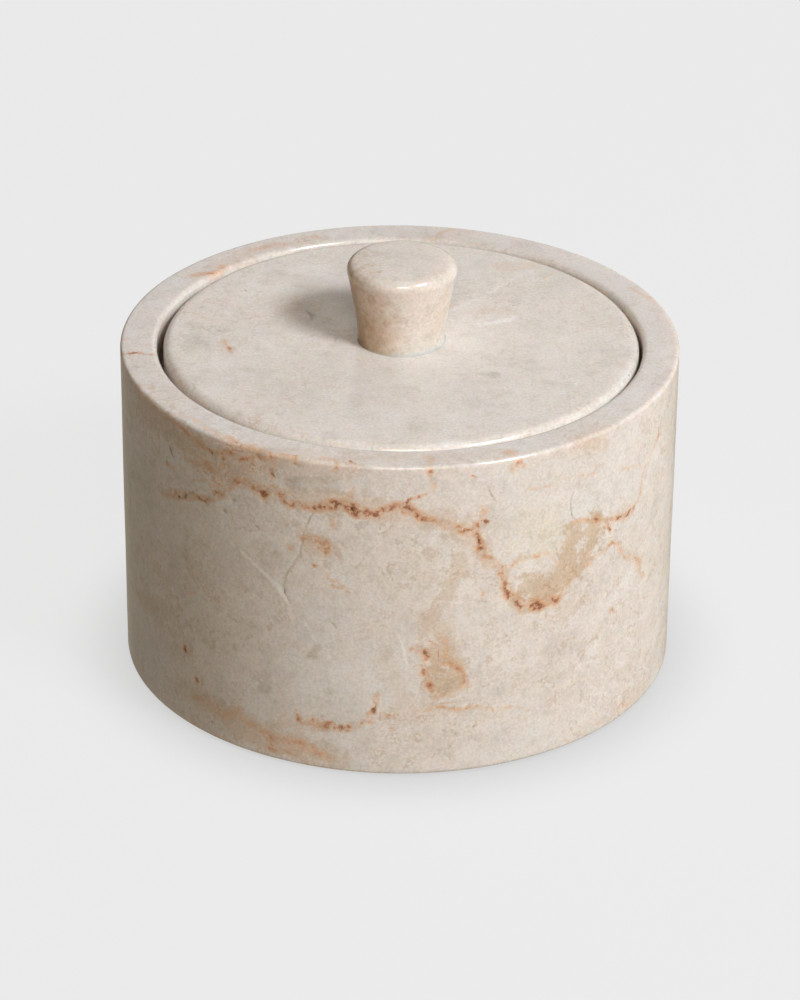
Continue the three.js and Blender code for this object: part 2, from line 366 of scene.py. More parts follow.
WALL_CRACKS = [
    on_wall(.5, (36.9, 61.8, .35), (36.5, 60, .45), (36.4, 58, .55), (36.8, 56, .55), (37.8, 54.8, .4)),
    on_wall(.45, (-16.3, 62, .45), (-17.5, 60, .5), (-18.5, 57, .4), (-19, 54, .4), (-19.6, 51.5, .4),
        (-20.8, 49, .5), (-22, 47, .4), (-22.8, 45, .4), (-23.1, 43, .55), (-22.8, 41.5, .65),
        (-22.2, 40, .3)),
    on_wall(.45, (15.2, 57, .6), (15.8, 55.6, .8), (16.2, 54, 1), (16.4, 53, .7)),
    on_wall(.45, (17.8, 67.5, .4), (18, 65.8, .8), (18.8, 64.5, .8), (19, 64, .4)),
    on_wall(.5, (-50.3, 54.8, .6), (-48.6, 54.9, .7), (-46.5, 57, .4), (-44, 59, .3)),
    on_wall(.5, (-52.7, 65.2, .7), (-51.5, 63.4, .7)),
    on_wall(.5, (-40.6, 69.3, .7), (-39.8, 68.7, .7)),
    on_wall(.5, (-28.8, 71.9, .7), (-27.8, 71, .6)),
    on_wall(.5, (-25.6, 68.6, .7), (-25, 67.6, .7)),
    on_wall(.5, (-20.4, 72, .6), (-19.6, 71.5, .6)),
    on_wall(.45, (-44.6, 57.2, .4), (-42.6, 56.8, .6), (-41.5, 57, .4)),
    on_wall(.45, (-28, 63.8, .8), (-27.6, 62.4, 1)),
    on_wall(.4, (-9.4, 64.6, .8), (-9, 63.2, .9), (-8, 62.4, .5)),
    on_wall(.4, (-5.4, 46.9, .6), (-5.2, 46.7, .6)),
    on_wall(.6, (-36.8, 56.6, .9), (-36.4, 56.5, .9)),
    on_wall(.5, (-34.7, 59.8, .8), (-34, 59.7, .7)),
    on_wall(.5, (-29.2, 55.4, .5), (-28.4, 54.8, .6)),
    on_wall(.4, (-23.8, 55.2, .5), (-23.5, 55.1, .5)),
    on_wall(.55, (-13, 36.2, .4), (-12.2, 35, .5)),
    on_wall(.6, (22, 31.9, .35), (22.6, 31.7, .35)),
    on_wall(.5, (25.2, 25.8, .3), (25.8, 25, .3), (26.6, 25.3, .25)),
    on_wall(.8, (71.5, 11.4, .35), (74, 10.4, .35)),
    on_wall(.5, (44.2, 7.3, .5), (44.5, 7, .5)),
    on_wall(.4, (7.8, 5.3, .45), (7, 4, .3)),
    on_wall(.45, (114, 56.8, .5), (120.5, 57.8, .9)),
    on_wall(.45, (150, 30, .3), (156, 25, .6), (164, 23, .4), (171, 17, .2)),
    on_wall(.45, (196, 60, .3), (201, 56, .6), (206, 55, .3)),
    on_wall(.45, (231, 16.5, .5), (237, 14.2, .9)),
]

WALL_PALE = [
    on_wall(.8, (-36, 50, .4), (-33, 48.5, .8), (-30, 46.8, .7), (-27, 44.5, .8), (-24.5, 42.8, 1),
        (-23, 40.3, .9), (-22, 38.5, .5), (-21.5, 36, .3)),
    on_wall(.8, (-19, 35.5, .3), (-17.8, 34.5, .6), (-17, 32.5, .5), (-16, 31, .35), (-14, 29.5, .5),
        (-13.5, 27.5, .4)),
    on_wall(.7, (0, 35, .25), (.8, 32.5, .6), (1.3, 30.5, .7), (1.8, 28, .6), (2, 26, .3)),
    on_wall(.5, (7, 41, .3), (8.5, 42, .5), (10.5, 41.5, .5), (12.5, 41, .3)),
    on_wall(.5, (20.5, 22.3, .3), (22, 21.3, .4), (24, 20.3, .3)),
    on_wall(.5, (31, 8, .35), (34, 6.3, .35)),
    on_wall(.9, (5.4, 28.4, .9), (5.9, 27.6, .9)),
    on_wall(.4, (-28.2, 19, .9), (-28, 18.8, .9)),
    on_wall(.6, (-3.6, 58.5, .6), (-3.4, 58.4, .6)),
    on_wall(1.8, (17.3, 56.3, .5), (18.8, 57.5, .35)),
    on_wall(.7, (95, 40, .3), (104, 36, .7), (110, 30, .5), (121, 28, .8), (128, 22, .3)),
    on_wall(.7, (172, 66, .3), (181, 61, .6), (186, 55, .8), (196, 51, .4), (205, 45, .6),
        (214, 43, .2)),
    on_wall(.8, (238, 46, .3), (246, 40, .7), (250, 33, .6), (259, 30, .3)),
]

WALL_TAN = [
    on_wall(3.0, (26.5, 42.5, .75), (29, 41.2, .9), (33, 41, .9), (35.5, 42, .8)),
    on_wall(2.8, (37.5, 52.2, .85), (36.8, 49, .95), (36, 46, .9), (35, 43.5, .8)),
    on_wall(2.8, (42.6, 52.4, .85), (42.2, 49, .95), (41, 46, .9), (38.6, 43.5, .85)),
    on_wall(3.0, (8.5, 36, .4), (9.2, 32, .5)),
    on_wall(2.8, (8, 30.5, .6), (8.2, 26, .85), (8.4, 22, .85)),
    on_wall(2.8, (11.2, 30, .55), (11.8, 26, .8), (11.8, 22.2, .85)),
    on_wall(2.2, (12, 52, .4), (11.5, 48, .45), (10, 44.5, .45), (7.8, 41, .4), (6, 37.5, .4),
        (5, 34.5, .35)),
    on_wall(3.0, (35, 34, .3), (40, 35, .25)),
    on_wall(3.4, (133, 60, .6), (140, 57, .8), (145, 60, .5)),
    on_wall(3.0, (176, 40, .5), (184, 37, .7), (190, 37, .5)),
    on_wall(2.6, (242, 22, .7), (247, 25, .6)),
]

WALL_CREAM = [
    on_wall(3.4, (25, 58.5, .6), (28.5, 56.5, .8), (31, 53.5, .95), (29.5, 51, .8)),
    on_wall(2.0, (33.5, 58, .45), (34, 60, .35)),
    on_wall(2.0, (24.5, 53, .6), (23, 52, .4)),
    on_wall(3.6, (150, 66, .5), (159, 62, .7), (166, 64, .4)),
    on_wall(3.0, (222, 30, .6), (228, 34, .5)),
]

WALL_WARM_AND_PAINTED_SHADE = [
    on_wall(3.0, (-30, 65, .5), (-24, 64, .6), (-12, 64.5, .7), (-3, 63.5, .6), (4, 62, .45),
        (13, 58.5, .55), (18, 51, .45)),
    on_wall(1.6, (-21.6, 52.5, .6), (-21.4, 52.4, .6)),
    on_wall(1.8, (-17.8, 53, .55), (-15, 52.3, .5)),
    on_wall(1.6, (-12.7, 60, .5), (-12.5, 59.5, .5)),
    # partly the stone's own warm mottling, partly painted shade: an amber band under the rim's outer edge,
    # strongest on the left, away from the lamps
    on_wall(4.2, (-66, 71, .5), (-52, 69.5, .8), (-42, 67, .85), (-33, 68.5, .7), (-22, 71, .55),
        (-10, 72, .4)),
    on_wall(2.4, (-18.6, 55, .6), (-14, 54, .75)),
    on_wall(2.4, (-60, 34, .5), (-55, 32.5, .45)),
    on_wall(3.0, (-68, 21, .5), (-58, 24, .5), (-52, 25, .4)),
    on_wall(2.6, (37, 72, .45), (41, 72.4, .6), (45, 69.8, .45)),
    on_wall(2.2, (-47, 42, .45), (-44, 40, .3)),
    on_wall(4.0, (-50, 9, .5), (-36, 7, .7), (-27, 5, .8), (-20, 5.5, .75), (-12, 3, .55)),
    on_wall(2.6, (-24, 10, .55), (-15, 11, .55)),
    on_wall(3.0, (-52, 23, .5), (-50.5, 16, .35)),
    on_wall(2.4, (-46, 40, .4), (-39, 35.5, .3)),
    on_wall(4.0, (5, 38, .3), (8, 28, .35)),
    on_wall(2.2, (21, 46, .5), (24, 39.5, .5)),
    on_wall(1.9, (27, 37.6, .7), (33, 37.5, .6)),
    on_wall(2.2, (47, 51, .4), (54, 50.5, .4)),
    on_wall(2.4, (52, 42, .25), (58.5, 36, .35)),
    on_wall(3.0, (52, 3, .35), (58, 2.5, .35), (66, 3, .25)),
    on_wall(3.0, (-4, 36, .15), (2, 15, .3), (12, 16, .25)),
    on_wall(3.4, (110, 58, .5), (122, 59, .7), (138, 51, .6), (158, 47, .5), (180, 47, .5)),
    on_wall(3.6, (212, 19, .5), (224, 18, .4), (237, 15, .7), (250, 13, .4)),
    on_wall(3.6, (228, 62, .5), (243, 61, .5), (256, 66, .4)),
]

WALL_GREY = [
    on_wall(1.0, (-17.8, 27.4, .7), (-15.3, 30.2, .6)),
    on_wall(1.8, (-28, 18.8, .6), (-26.8, 20, .45), (-27.5, 17.5, .5)),
    on_wall(.9, (-7.9, 58.9, .65), (-6.2, 60.3, .4)),
    on_wall(1.2, (-14.4, 19.8, .4), (-13, 20, .3)),
    on_wall(1.2, (-21.4, 22, .35), (-20.8, 22.3, .3)),
    on_wall(2.6, (-20, 67.3, .35), (-13, 68.5, .3)),
    on_wall(1.4, (-75, 60, .6), (-72.5, 60, .5)),
    on_wall(1.0, (-25.3, 35, .3), (-24.6, 34.4, .3)),
    on_wall(1.4, (104, 48, .5), (107, 50, .4)),
    on_wall(1.6, (192, 28, .6), (196, 31, .5)),
    on_wall(3.4, (262, 34, .3), (270, 40, .3)),
]

RIM_RUST = [
    on_top(.8, (-58.8, -8.8, .6), (-56, -8.3, .7), (-53, -9, .7), (-52.3, -8.8, .5)),
    on_top(1.2, (-46, 31.5, .45), (-43, 32, .55), (-41, 33, .5), (-40, 34.5, .5), (-39.8, 36.5, .4)),
    on_top(1.2, (-34, 45.5, .5), (-32, 46, .3), (-28, 48, .4), (-26, 48.5, .3)),
    on_top(1.2, (-20, 52.5, .4), (-18.5, 52, .3)),
    on_top(1.0, (8, 52, .4), (10, 56, .45), (11.5, 57, .4)),
    on_top(.9, (-29.5, -51, .4), (-29.2, -53.5, .7), (-28.6, -55.5, .3)),
    on_top(1.0, (-45, -37, .3), (-40, -42.5, .4), (-36, -46.5, .4), (-33, -49.8, .5), (-30, -51.5, .5),
        (-25.5, -54.3, .45)),
    on_top(.8, (-21, -55.5, .5), (-20.5, -56.8, .35)),
    on_top(.7, (-15, -54.5, .5), (-15.8, -57, .3)),
    on_top(.7, (-14.5, -55, .4), (-13, -57.5, .6), (-12.3, -59.3, .8)),
    on_top(.5, (-9.8, -57.5, .6), (-9, -59.3, .8)),
    on_top(1.0, (5.5, -54.5, .5), (6.5, -56.5, .4), (6, -59.5, .3)),
    on_top(1.3, (21.8, -53, .45), (23.5, -53.6, .4)),
    on_top(.8, (-59.4, -1.3, .45), (-59.2, -.6, .4)),
    on_top(.9, (50, 27, .3), (53, 23, .4), (56, 21, .3)),
]
RIM_CRACKS = [on_top(.6, (-56.5, -14.5, .4), (-55.3, -15.2, .5))]
RIM_WARM = [
    on_top(3.0, (-45, 31, .4), (-34, 44, .5), (-27, 48, .35), (-19, 52, .4)),
    on_top(3.0, (42, -43, .35), (39, -46, .3)),
    on_top(3.0, (6, 53, .3), (14, 56, .25)),
    on_top(3.0, (-30, -52, .45), (-14, -56, .45), (6, -56, .35), (22, -53, .4)),
]

LID_RUST = [
    on_top(.5, (-19.5, 12.5, .35), (-18, 13.5, .4), (-17.2, 15.5, .4), (-17.3, 17, .35),
        (-16.8, 18.5, .2)),
    on_top(.6, (-20.5, 12, .3), (-22, 15.5, .35), (-23, 19, .3), (-22.8, 22, .2)),
    on_top(.9, (-37.8, -1.5, .3), (-37, -4, .5), (-36.4, -6.4, .7), (-36.2, -7.2, .6)),
    on_top(.6, (-26.5, -34.5, .2), (-28, -37, .4), (-29.5, -39.5, .2)),
    on_top(.6, (32, 31, .35), (33.2, 33.5, .5), (34.5, 35, .4)),
    on_top(.8, (-12, 43, .2), (-6, 40, .4), (2, 41, .3)),
]
LID_CRACKS = [
    on_top(.6, (-20.4, 12.7, .9), (-19.6, 11.2, 1), (-19.3, 8.8, .65)),
    on_top(.5, (-19, 11.4, .8), (-18.5, 10.3, .6)),
    on_top(.5, (-15, 1, .5), (-13.5, -.5, .55), (-13.8, -2.5, .4)),
    on_top(.5, (-12.5, 3.5, .65), (-11.5, 2.5, .85), (-10.8, 4, .65)),
    on_top(.5, (-14.5, 3.2, .4), (-12.8, 1.8, .45)),
    on_top(.5, (-20.2, -26, .35), (-21.5, -28, .6), (-22.5, -29.5, .7), (-24.5, -29.8, .4),
        (-26.5, -31, .3)),
    on_top(.5, (-47.5, 1, .45), (-46.5, 3, .35)),
    on_top(.4, (-44.5, 9, .35), (-46, 6, .35)),
    on_top(.7, (-39.3, 3, .5), (-38.8, 2.6, .5)),
    on_top(.5, (-43.2, -23, .75), (-43, -25, .5)),
    on_top(.5, (-45.5, -22, .45), (-44.8, -24, .35)),
    on_top(.4, (37.9, -5, .4), (38.3, -5.4, .4)),
]
LID_PALE = [
    on_top(1.6, (17.5, 7, .7), (20, 7.8, .9), (23.5, 9.5, .8), (24.5, 11, .5)),
    on_top(1.5, (11.5, 14, .5), (14, 17, .4), (18, 21, .5), (23, 28, .45), (27, 33, .35), (32, 38, .2)),
    on_top(.8, (-30, -3, .3), (-24, -6, .45), (-15, -6, .4), (-9, -7, .2)),
]
LID_WARM = [
    on_top(3.0, (18, 14, .35), (24, 14, .3)),
    on_top(4.0, (23, 37, .45), (30, 38, .35)),
    on_top(3.0, (-26, 13, .4), (-20, 16, .35)),
    on_top(2.0, (-38, -3, .4), (-36.5, -7, .45)),
]
LID_GREY = [
    on_top(1.1, (16.5, -17.2, .4), (18.5, -17.5, .7), (20.8, -17.3, .7), (19.5, -18.5, .5)),
    on_top(4.0, (-44, 4, .4), (-45, -4, .3)),
]

# painted shade: the warm, tan and grey strokes on the knob's left, the side away from the lamps, darken it
# to amber and brown; the warm stroke on the right is the stone's own peach tone
KNOB_PEACH_AND_PAINTED_SHADE = [
    on_knob(9.0, (-52, 1, 1), (-60, 9, .85)),
    on_knob(4.0, (58, 5, .45), (62, 13, .4)),
]
KNOB_PAINTED_SHADE_TAN = [
    on_knob(8.5, (-84, 0, 1), (-84, 6, 1), (-86, 11, .85)),
]
KNOB_PAINTED_SHADE_GREY = [on_knob(6.5, (-86, 1, .6), (-86, 9, .5))]
KNOB_PALE = [on_knob(.8, (-12, 16, .4), (2, 12, .3), (10, 5, .3))]

NO_STROKE = 50.0                # the distance that stands for no stroke near
LINE_LAYERS = ("rust", "crack", "pale")
PATCH_LAYERS = ("tan", "cream", "warm", "grey")
STROKES = {
    "jar_vessel": {
        "rust": WALL_RUST + RIM_RUST, "crack": WALL_CRACKS + RIM_CRACKS, "pale": WALL_PALE,
        "tan": WALL_TAN, "cream": WALL_CREAM, "warm": WALL_WARM_AND_PAINTED_SHADE + RIM_WARM, "grey": WALL_GREY,
    },
    "lid_plate": {
        "rust": LID_RUST, "crack": LID_CRACKS, "pale": LID_PALE, "warm": LID_WARM, "grey": LID_GREY,
    },
    # the knob's tan and grey patches, and its warm one on the left, are painted shade
    "lid_handle": {"pale": KNOB_PALE, "tan": KNOB_PAINTED_SHADE_TAN, "warm": KNOB_PEACH_AND_PAINTED_SHADE, "grey": KNOB_PAINTED_SHADE_GREY},
}


def nearest_on_strokes(vertices, strokes):
    """For each vertex, how it lies to the stroke that covers it most: the offset from the stroke's
    middle line, the offset's length, the stroke's half width there and its strength there."""
    count = len(vertices)
    offset = np.full((count, 3), NO_STROKE)
    distance = np.full(count, NO_STROKE)
    width = np.ones(count)
    strength = np.zeros(count)
    cover = np.full(count, NO_STROKE)
    for half_width, places in strokes:
        places = np.array(places)
        for start, end in zip(places, places[1:]):
            along = end[:3] - start[:3]
            share = np.clip((vertices - start[:3]) @ along / max(along @ along, 1e-9), 0, 1)
            to_line = vertices - (start[:3] + share[:, None] * along)
            length = np.linalg.norm(to_line, axis=1)
            power = start[3] + share * (end[3] - start[3])
            reach = half_width * (0.55 + 0.45 * power)
            score = length / reach
            closer = score < cover
            offset[closer] = to_line[closer]
            distance[closer] = length[closer]
            width[closer] = reach[closer]
            strength[closer] = power[closer]
            cover[closer] = score[closer]
    return offset, distance, width, strength


# ---- Pieces --------------------------------------------------------------------------------------

UNEVENNESS = 0.05               # how far a hand finish leaves the wall from round
UNEVEN_WAVELENGTH = 24
UNEVEN_SEED = 5
PIT_DEPTH = 0.18                # of the strongest crack


def swell(points, wavelength, seed, waves=14):
    """Smooth noise of about -1 to 1 at each point: plane waves of nearly one length, in all directions."""
    random = np.random.default_rng(seed)
    ways = random.normal(size=(waves, 3))
    ways /= np.linalg.norm(ways, axis=1)[:, None]
    lengths = wavelength * random.uniform(0.7, 1.4, waves)
    phases = random.uniform(0, 2 * math.pi, waves)
    angles = points @ (ways * (2 * math.pi / lengths)[:, None]).T + phases
    return np.sin(angles).sum(axis=1) / math.sqrt(waves)


def store(mesh, name, vectors):
    """Keep one vector for each vertex, for the material to read."""
    attribute = mesh.attributes.new(name, "FLOAT_VECTOR", "POINT")
    attribute.data.foreach_set("vector", vectors.astype(np.float32).ravel())


def wear_in(vertices):
    """Sink the outer wall towards the axis by a hand finish's unevenness, never outwards."""
    unevenness = np.clip(swell(vertices, UNEVEN_WAVELENGTH, UNEVEN_SEED), -1, 1)
    sink = UNEVENNESS * (0.5 + 0.5 * unevenness)
    flat = vertices.copy()
    flat[:, 2] = 0
    radius = np.linalg.norm(flat, axis=1)
    outward = flat / np.maximum(radius, 1)[:, None]
    return vertices - outward * (sink * (radius > OUTER_RADIUS - 1))[:, None]


def sink_pits(vertices, pits):
    """Press the cracks into the stone: down on the flat tops and inwards on the wall."""
    sunk = vertices.copy()
    on_flat = vertices[:, 2] > RIM_HEIGHT - 0.3
    sunk[on_flat, 2] -= pits[on_flat]
    radius = np.maximum(np.linalg.norm(vertices[:, :2], axis=1), 1)
    sunk[~on_flat, :2] -= (vertices[:, :2] / radius[:, None] * pits[:, None])[~on_flat]
    return sunk


def add_piece(name, surface, material, body, slot, *nodes):
    """Make the mesh object of a piece, paint its strokes, hang it under its body and hide its CAD nodes."""
    vertices, faces = surface
    strokes = STROKES.get(name, {})
    attributes = {}
    for layer in LINE_LAYERS:
        offset, distance, width, strength = nearest_on_strokes(vertices, strokes.get(layer, []))
        attributes[layer + "_offset"] = offset
        attributes[layer + "_data"] = np.stack([distance, 1 / width, strength], axis=1)
        if layer == "crack":
            pits = PIT_DEPTH * strength * np.exp(-(distance / width) ** 2)
    for layer in PATCH_LAYERS:
        _, distance, width, strength = nearest_on_strokes(vertices, strokes.get(layer, []))
        attributes[layer + "_data"] = np.stack([distance / width, width, strength], axis=1)
    shape = sink_pits(wear_in(vertices) if name == "jar_vessel" else vertices, pits)

    mesh = bpy.data.meshes.new(name)
    mesh.from_pydata((shape * MM).tolist(), [], faces)
    for attribute, vectors in attributes.items():
        store(mesh, attribute, vectors)
    mesh.polygons.foreach_set("use_smooth", [True] * len(mesh.polygons))
    mesh.materials.append(material)
    mesh.update()
    piece = bpy.data.objects.new(name, mesh)
    bpy.context.scene.collection.objects.link(piece)
    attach(piece, body)
    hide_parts(*nodes)


# ---- Materials -----------------------------------------------------------------------------------

class Graph:
    """A small hand for wiring a material's nodes."""

    def __init__(self, name):
        self.material = bpy.data.materials.new(name)
        self.material.use_nodes = True
        self.tree = self.material.node_tree
        self.tree.nodes.clear()

    def add(self, kind, inputs=None, **settings):
        node = self.tree.nodes.new("ShaderNode" + kind)
        for key, value in settings.items():
            setattr(node, key, value)
        for key, value in (inputs or {}).items():
            if isinstance(value, bpy.types.NodeSocket):
                self.tree.links.new(value, node.inputs[key])
            else:
                node.inputs[key].default_value = value
        return node

    def math(self, operation, first, second=0.0, clamp=False):
        node = self.add("Math", {0: first, 1: second}, operation=operation, use_clamp=clamp)
        return node.outputs[0]

    def vector(self, operation, first, second=(0, 0, 0)):
        node = self.add("VectorMath", {0: first, 1: second}, operation=operation)
        return node.outputs["Value" if operation == "LENGTH" else "Vector"]

    def scaled(self, vector, factor):
        return self.add("VectorMath", {0: vector, "Scale": factor}, operation="SCALE").outputs["Vector"]

    def spread(self, value, low, high, to_low=0.0, to_high=1.0):
        """The value taken smoothly from one range to another."""
        node = self.add("MapRange", {"Value": value, "From Min": low, "From Max": high,
                                     "To Min": to_low, "To Max": to_high}, interpolation_type="SMOOTHSTEP")
        return node.outputs["Result"]

    def place(self, shift=(0, 0, 0)):
        """The place on the piece in millimetres."""
        metres = self.add("TexCoord").outputs["Object"]
        mapping = self.add("Mapping", {"Vector": metres, "Scale": (1 / MM,) * 3, "Location": shift})
        return mapping.outputs["Vector"]

    def noise(self, place, wavelength, detail, roughness, output="Fac"):
        """Noise with a wavelength in millimetres: one value, or three with the output Color."""
        node = self.add("TexNoise", {"Vector": place, "Scale": 1 / wavelength, "Detail": detail,
                                     "Roughness": roughness})
        return node.outputs[output]

    def ramp(self, value, stops):
        node = self.add("ValToRGB", {"Fac": value})
        elements = node.color_ramp.elements
        while len(elements) < len(stops):
            elements.new(0.5)
        for element, (position, colour) in zip(elements, stops):
            element.position = position
            element.color = (*colour, 1)
        return node.outputs["Color"]

    def mix(self, factor, first, second, blend="MIX"):
        node = self.add("Mix", data_type="RGBA", blend_type=blend)
        for index, value in {0: factor, 6: first, 7: second}.items():
            if isinstance(value, bpy.types.NodeSocket):
                self.tree.links.new(value, node.inputs[index])
            else:
                node.inputs[index].default_value = (*value, 1) if index else value
        return node.outputs[2]

    def attribute(self, name):
        node = self.add("Attribute", attribute_name=name, attribute_type="GEOMETRY")
        return node.outputs["Vector"]

    def split(self, vector):
        return self.add("SeparateXYZ", {"Vector": vector}).outputs

    def finish(self, shader):
        """Show the shader on the surface, and give the material."""
        output = self.add("OutputMaterial")
        self.tree.links.new(shader.outputs[0], output.inputs["Surface"])
        return self.material


# Colours of the stone, mixed in
BASE_CREAM = (0.735, 0.682, 0.632)
BASE_WARM = (0.730, 0.660, 0.600)
BASE_GREY = (0.635, 0.585, 0.528)
PALE_VEIN = (0.800, 0.765, 0.725)
BRIGHT_VEIN = (0.90, 0.875, 0.84)
SPECK = (0.33, 0.24, 0.17)

# Tints that multiply the colour already there
NONE = (1, 1, 1)
TAN = (0.84, 0.71, 0.56)
CREAM = (1.0, 0.985, 0.90)
WARM = (0.92, 0.80, 0.69)
GREY = (0.74, 0.73, 0.69)
WISP = (0.74, 0.62, 0.50)
MOTTLE_STOPS = ((0.30, (0.87, 0.85, 0.82)), (0.50, NONE), (0.8, NONE))
RUST_STOPS = ((0, NONE), (0.20, (1.0, 0.89, 0.79)), (0.40, (0.95, 0.74, 0.59)), (0.62, (0.82, 0.53, 0.38)),
              (0.82, (0.62, 0.35, 0.24)), (1.0, (0.41, 0.23, 0.15)))
CRACK_STOPS = ((0, NONE), (0.3, (0.88, 0.85, 0.81)), (0.7, (0.62, 0.55, 0.47)), (1.0, (0.36, 0.29, 0.22)))

RUBBER_BLACK = (0.028, 0.026, 0.024)
RUBBER_DUST = (0.075, 0.070, 0.064)


def stroke_line(graph, layer, meander, crumble, wander, raggedness, haze=1.0):
    """How deep in a painted line a point is, from 0 outside it to 1 in the dark middle of a strong one.
    The line strays by the wander, in millimetres; raggedness breaks it up, and haze widens it."""
    distance, per_width, strength = graph.split(graph.attribute(layer + "_data"))
    strayed = graph.vector("ADD", graph.attribute(layer + "_offset"), graph.scaled(meander, wander))
    away = graph.vector("LENGTH", strayed)
    # straying can't bring a line to a point that is far from it
    away = graph.math("MAXIMUM", away, graph.math("SUBTRACT", distance, 0.5 * wander + 0.4))
    across = graph.math("MULTIPLY", graph.math("MULTIPLY", away, per_width), 1 / haze)
    inside = graph.math("SUBTRACT", 1.0, across, clamp=True)
    broken = graph.spread(crumble, 0.36, 0.64, 1 - raggedness, 1 + raggedness)
    return graph.math("MULTIPLY", graph.math("MULTIPLY", inside, strength), broken, clamp=True)


def stroke_patch(graph, layer, ragged):
    """How much of a painted patch a point has, with a ragged, feathered edge."""
    cover, _, strength = graph.split(graph.attribute(layer + "_data"))
    edge = graph.math("ADD", cover, ragged)
    return graph.math("MULTIPLY", graph.spread(edge, 1.35, 0.55), strength)


def stone(name, tint, shift, scratched=0.6, torn=1.0, depth=0.0035):
    """Polished, slightly translucent marble: clouds, a faint web, brown wisps, the painted patches and
    lines, mottling, grain and specks. The shift moves the noise, so that no two pieces are alike.
    Scratched is how strong the brown wisps are, torn how ragged the patches' edges are, and depth how
    far light goes in, in metres."""
    graph = Graph(name)
    place = graph.place(shift)
    clouds = graph.noise(place, 34.0, 3.0, 0.5)
    wisps = graph.noise(place, 11.0, 7.0, 0.66)
    mottle = graph.noise(place, 3.2, 5.0, 0.68)
    grain = graph.noise(place, 0.6, 3.0, 0.75)
    crumble = graph.noise(place, 1.6, 4.0, 0.7)
    meander = graph.vector("SUBTRACT", graph.noise(place, 5.0, 4.0, 0.6, "Color"), (0.5, 0.5, 0.5))
    colour = graph.mix(graph.spread(clouds, 0.38, 0.62), BASE_CREAM, BASE_WARM)
    colour = graph.mix(graph.spread(wisps, 0.48, 0.70, 0.0, 0.7), colour, BASE_GREY)
    colour = graph.mix(graph.spread(wisps, 0.47, 0.32, 0.0, 0.4), colour, PALE_VEIN)

    # a faint healed web of cracks
    bent = graph.vector("ADD", place, graph.scaled(meander, 11.0))
    web = graph.add("TexVoronoi", {"Vector": bent, "Scale": 1 / 19}, feature="DISTANCE_TO_EDGE")
    line = graph.spread(web.outputs["Distance"], 0.035, 0.0)
    line = graph.math("MULTIPLY", line, graph.spread(clouds, 0.45, 0.65))
    colour = graph.mix(graph.math("MULTIPLY", line, 0.4), colour, PALE_VEIN)

    # short brown scratchy wisps, where the clouds are warm
    ridge = graph.math("ABSOLUTE", graph.math("SUBTRACT", graph.noise(bent, 8.0, 5.0, 0.6), 0.5))
    scratch = graph.math("MULTIPLY", graph.spread(ridge, 0.045, 0.0), graph.spread(mottle, 0.45, 0.57))
    scratch = graph.math("MULTIPLY", scratch, graph.spread(clouds, 0.42, 0.60, 0.3 * scratched, scratched))
    colour = graph.mix(scratch, colour, WISP, "MULTIPLY")

    # the painted patches and lines
    ragged = 0.0
    for noise, share in ((wisps, 1.8), (mottle, 3.0), (crumble, 1.6)):
        ragged = graph.math("ADD", ragged, graph.math("MULTIPLY", graph.math("SUBTRACT", noise, 0.5), share))
    ragged = graph.math("MULTIPLY", ragged, torn)
    for layer, shade in (("tan", TAN), ("cream", CREAM), ("warm", WARM), ("grey", GREY)):
        colour = graph.mix(stroke_patch(graph, layer, ragged), colour, shade, "MULTIPLY")
    pale = stroke_line(graph, "pale", meander, crumble, 0.8, 0.3)
    colour = graph.mix(graph.spread(pale, 0.0, 0.7, 0.0, 0.5), colour, BRIGHT_VEIN)
    rust = stroke_line(graph, "rust", meander, crumble, 3.6, 0.85, 1.5)
    colour = graph.mix(1.0, colour, graph.ramp(rust, RUST_STOPS), "MULTIPLY")
    crack = stroke_line(graph, "crack", meander, crumble, 1.2, 0.5)
    colour = graph.mix(1.0, colour, graph.ramp(crack, CRACK_STOPS), "MULTIPLY")

    # mottling, grain and a few dark specks
    colour = graph.mix(1.0, colour, graph.ramp(mottle, MOTTLE_STOPS), "MULTIPLY")
    colour = graph.scaled(colour, graph.spread(grain, 0.30, 0.70, 0.90, 1.08))
    cells = graph.add("TexVoronoi", {"Vector": place, "Scale": 1 / 5.5})
    chosen = graph.spread(graph.split(cells.outputs["Color"])[0], 0.80, 0.86)
    dot = graph.math("MULTIPLY", graph.spread(cells.outputs["Distance"], 0.085, 0.03), chosen)
    colour = graph.mix(graph.math("MULTIPLY", dot, 0.5), colour, SPECK)
    colour = graph.mix(1.0, colour, tint, "MULTIPLY")

    # the polish, duller and sunk along the lines
    rough = graph.spread(mottle, 0.3, 0.7, 0.13, 0.20)
    rough = graph.math("ADD", rough, graph.math("MULTIPLY", graph.math("MAXIMUM", rust, crack), 0.3))
    height = graph.math("ADD", graph.math("MULTIPLY", grain, 0.05), graph.math("MULTIPLY", mottle, 0.10))
    height = graph.math("SUBTRACT", height, graph.math("ADD", crack, dot))
    height = graph.math("SUBTRACT", height, graph.math("MULTIPLY", rust, 0.4))
    bump = graph.add("Bump", {"Height": height, "Strength": 0.35, "Distance": 0.00012})

    return graph.finish(graph.add("BsdfPrincipled", {
        "Base Color": colour,
        "Roughness": rough,
        "Normal": bump.outputs["Normal"],
        "IOR": 1.5,
        "Subsurface Weight": 0.45,
        "Subsurface Radius": (1.0, 0.52, 0.28),
        "Subsurface Scale": depth,
    }))


